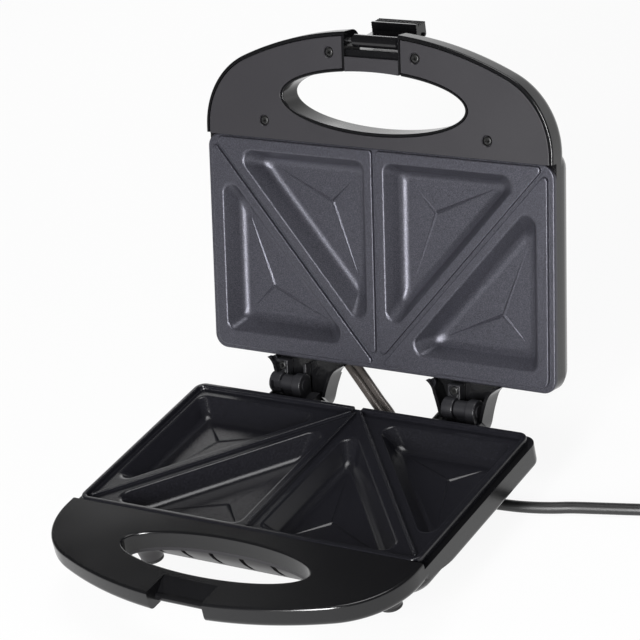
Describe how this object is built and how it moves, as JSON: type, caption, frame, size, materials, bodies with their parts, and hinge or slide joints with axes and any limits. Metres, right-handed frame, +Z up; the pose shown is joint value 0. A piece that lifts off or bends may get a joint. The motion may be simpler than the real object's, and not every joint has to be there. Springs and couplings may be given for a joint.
{
  "type": "sandwich toaster",
  "caption": "Open countertop sandwich toaster with triangular-pocket plates, a lid that swings on rear hinges, a finger opening through each handle and a front latch.",
  "frame": {"origin": "on the standing surface, under the middle of the open toaster without its cord", "axes": "+Z up, -Y towards the handles, +X to the right seen from the handles; the hinge axis runs along X"},
  "size_m": [0.384, 0.3583, 0.2354],
  "materials": {
    "gloss_black_plastic": "moulded gloss black",
    "charcoal_plastic": "fine matt texture",
    "nonstick_coating": "speckled non-stick coating on cast aluminium",
    "heater_steel": "oxidised steel tube",
    "shield_aluminium": "mill finish sheet",
    "screw_steel": "zinc plated",
    "pin_steel": "polished",
    "hinge_plastic": "satin black",
    "foot_rubber": "matt",
    "cord_pvc": "satin PVC",
    "plug_brass": "nickel plated",
    "white_insulation": "matt",
    "sleeve_silicone": "clear over silver braid",
    "thermostat_ceramic": "ceramic",
    "red_lens": "transparent red",
    "green_lens": "transparent green",
    "lamp_glass": "clear"
  },
  "bodies": {
    "base": {"base_housing": "gloss_black_plastic", "base_pan": "gloss_black_plastic", "base_handle_cover": "charcoal_plastic", "base_plate": "nonstick_coating", "base_heating_element": "heater_steel", "base_heat_shield": "shield_aluminium", "base_plate_screws": "screw_steel", "base_shield_screws": "screw_steel", "pan_screws": "screw_steel", "base_handle_screws": "screw_steel", "foot_pads": "foot_rubber", "hinge_bracket_left": "hinge_plastic", "hinge_bracket_right": "hinge_plastic", "hinge_bracket_screws": "screw_steel", "hinge_pin_left": "pin_steel", "hinge_pin_right": "pin_steel", "thermostat": "thermostat_ceramic", "terminal_block": "white_insulation", "base_wiring": "white_insulation", "strain_relief": "cord_pvc", "cord_run": "cord_pvc", "cord_coil": "cord_pvc", "cord_tie": "cord_pvc", "plug_body": "cord_pvc", "plug_pins": "plug_brass"},
    "lid": {"lid_housing": "gloss_black_plastic", "lid_handle_cover": "charcoal_plastic", "lid_handle_screws": "screw_steel", "lid_plate": "nonstick_coating", "lid_heating_element": "heater_steel", "lid_heat_shield": "shield_aluminium", "lid_plate_screws": "screw_steel", "lid_shield_screws": "screw_steel", "hinge_arm_left": "hinge_plastic", "hinge_arm_right": "hinge_plastic", "hinge_arm_screws": "screw_steel", "thermal_fuse": "thermostat_ceramic", "lid_wiring": "white_insulation", "power_lens": "red_lens", "ready_lens": "green_lens", "indicator_lamps": "lamp_glass", "latch_pin": "pin_steel", "wire_sleeves": "sleeve_silicone"},
    "latch": {"latch": "gloss_black_plastic"}
  },
  "joints": [
    {"name": "lid_hinge", "type": "hinge", "parent": "base", "child": "lid", "pos_m": [0, 0.05462, 0.0399], "axis": [1, 0, 0], "range_deg": [0, 107], "deforming": ["wire_sleeves"]},
    {"name": "latch_hinge", "type": "hinge", "parent": "lid", "child": "latch", "pos_m": [0, 0.12389, 0.22849], "axis": [1, 0, 0], "range_deg": [0, 170]}
  ]
}
